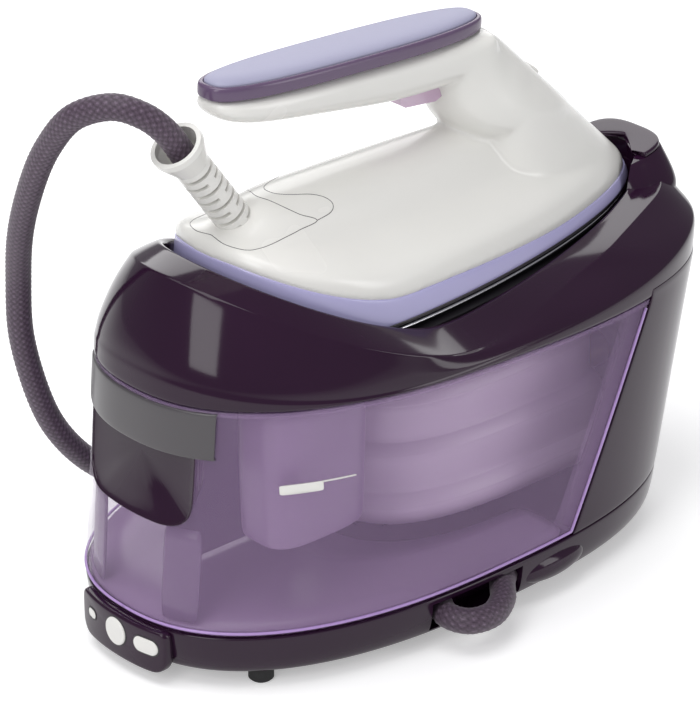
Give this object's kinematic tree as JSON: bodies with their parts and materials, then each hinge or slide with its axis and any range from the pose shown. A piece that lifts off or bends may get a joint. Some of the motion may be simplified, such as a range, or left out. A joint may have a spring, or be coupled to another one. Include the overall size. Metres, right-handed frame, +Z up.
{
  "type": "steam generator iron",
  "caption": "Steam iron resting on its pressure station: oval base, slide-off see-through water tank, sloping top housing, braided hose, carry lock and press controls.",
  "frame": {"origin": "on the floor under the middle of the station's box, without the hose", "axes": "+X towards the iron's tip, +Z up, the control panel faces -X"},
  "size_m": [0.343, 0.2239, 0.2747],
  "materials": {
    "dark_purple_abs": "gloss moulded",
    "black_plastic": "fine texture",
    "grey_abs": "satin",
    "black_rubber": "matt",
    "tank_clear_purple": "clear, tinted",
    "core_mauve": "satin",
    "white_abs": "gloss moulded",
    "lilac_abs": "gloss moulded",
    "lilac_soft_grip": "soft touch",
    "bezel_plum": "metallic paint",
    "trigger_pink": "clear, tinted",
    "hose_braid": "braided sleeve",
    "soleplate_metal": "polished",
    "cast_aluminium": "as cast",
    "steel": "plain",
    "brass_fittings": "turned",
    "circuit_green": "solder mask"
  },
  "bodies": {
    "station": {"base_pan": "dark_purple_abs", "base_deck": "dark_purple_abs", "rubber_feet": "black_rubber", "base_screws": "steel", "control_panel": "dark_purple_abs", "indicator_lens": "white_abs", "core_housing": "core_mauve", "boiler": "cast_aluminium", "boiler_thermostat": "brass_fittings", "steam_valve": "brass_fittings", "pump": "black_plastic", "water_tubes": "white_abs", "control_board": "circuit_green", "water_spigot": "white_abs", "spigot_seal": "black_rubber", "hose_gland": "brass_fittings", "stored_hose": "hose_braid", "steam_hose": "hose_braid", "upper_housing": "dark_purple_abs", "iron_platform": "black_plastic", "platform_pads": "black_rubber", "decalc_socket": "brass_fittings", "mains_cord_bushing": "black_plastic"},
    "iron": {"soleplate": "soleplate_metal", "heat_shield": "black_plastic", "heater_block": "cast_aluminium", "heating_element": "steel", "iron_thermostat": "brass_fittings", "iron_skirt": "lilac_abs", "iron_shell": "white_abs", "heel_cover": "white_abs", "handle_bezel": "bezel_plum", "handle_pad": "lilac_soft_grip", "tip_light_lens": "white_abs", "strain_relief": "white_abs", "trigger_pin": "steel", "trigger_switch": "black_plastic", "iron_screws": "steel"},
    "tank": {"tank_shell": "tank_clear_purple", "tank_lid": "tank_clear_purple", "grip_band": "grey_abs", "grip_scoop": "dark_purple_abs", "filler_tube": "tank_clear_purple", "filler_door": "grey_abs", "tank_valve": "white_abs", "valve_seal": "black_rubber"},
    "trigger": {"steam_trigger": "trigger_pink"},
    "carry_lock": {"lock_button": "black_plastic", "lock_tongue": "grey_abs"},
    "power": {"power_button": "white_abs"},
    "eco": {"eco_button": "white_abs"},
    "drain_knob": {"decalc_knob": "grey_abs"}
  },
  "joints": [
    {"name": "iron_lift", "type": "slide", "parent": "station", "child": "iron", "axis": [0, 0, 1], "range_m": [0, 0.12], "deforming": ["steam_hose"]},
    {"name": "tank_slide", "type": "slide", "parent": "station", "child": "tank", "axis": [-1, 0, 0], "range_m": [0, 0.2]},
    {"name": "trigger_pull", "type": "hinge", "parent": "iron", "child": "trigger", "pos_m": [0.027, 0, 0.244], "axis": [0, 1, 0], "range_deg": [0, 7], "stiffness_Nm_per_rad": 0.6},
    {"name": "lock_slide", "type": "slide", "parent": "station", "child": "carry_lock", "axis": [-1, 0, 0], "range_m": [0, 0.005]},
    {"name": "power_press", "type": "slide", "parent": "station", "child": "power", "axis": [1, 0, 0], "range_m": [0, 0.0015], "stiffness_N_per_m": 400},
    {"name": "eco_press", "type": "slide", "parent": "station", "child": "eco", "axis": [1, 0, 0], "range_m": [0, 0.0015], "stiffness_N_per_m": 400},
    {"name": "drain_turn", "type": "hinge", "parent": "station", "child": "drain_knob", "pos_m": [0.15, 0, 0.062], "axis": [1, 0, 0], "range_deg": [0, 90]}
  ]
}
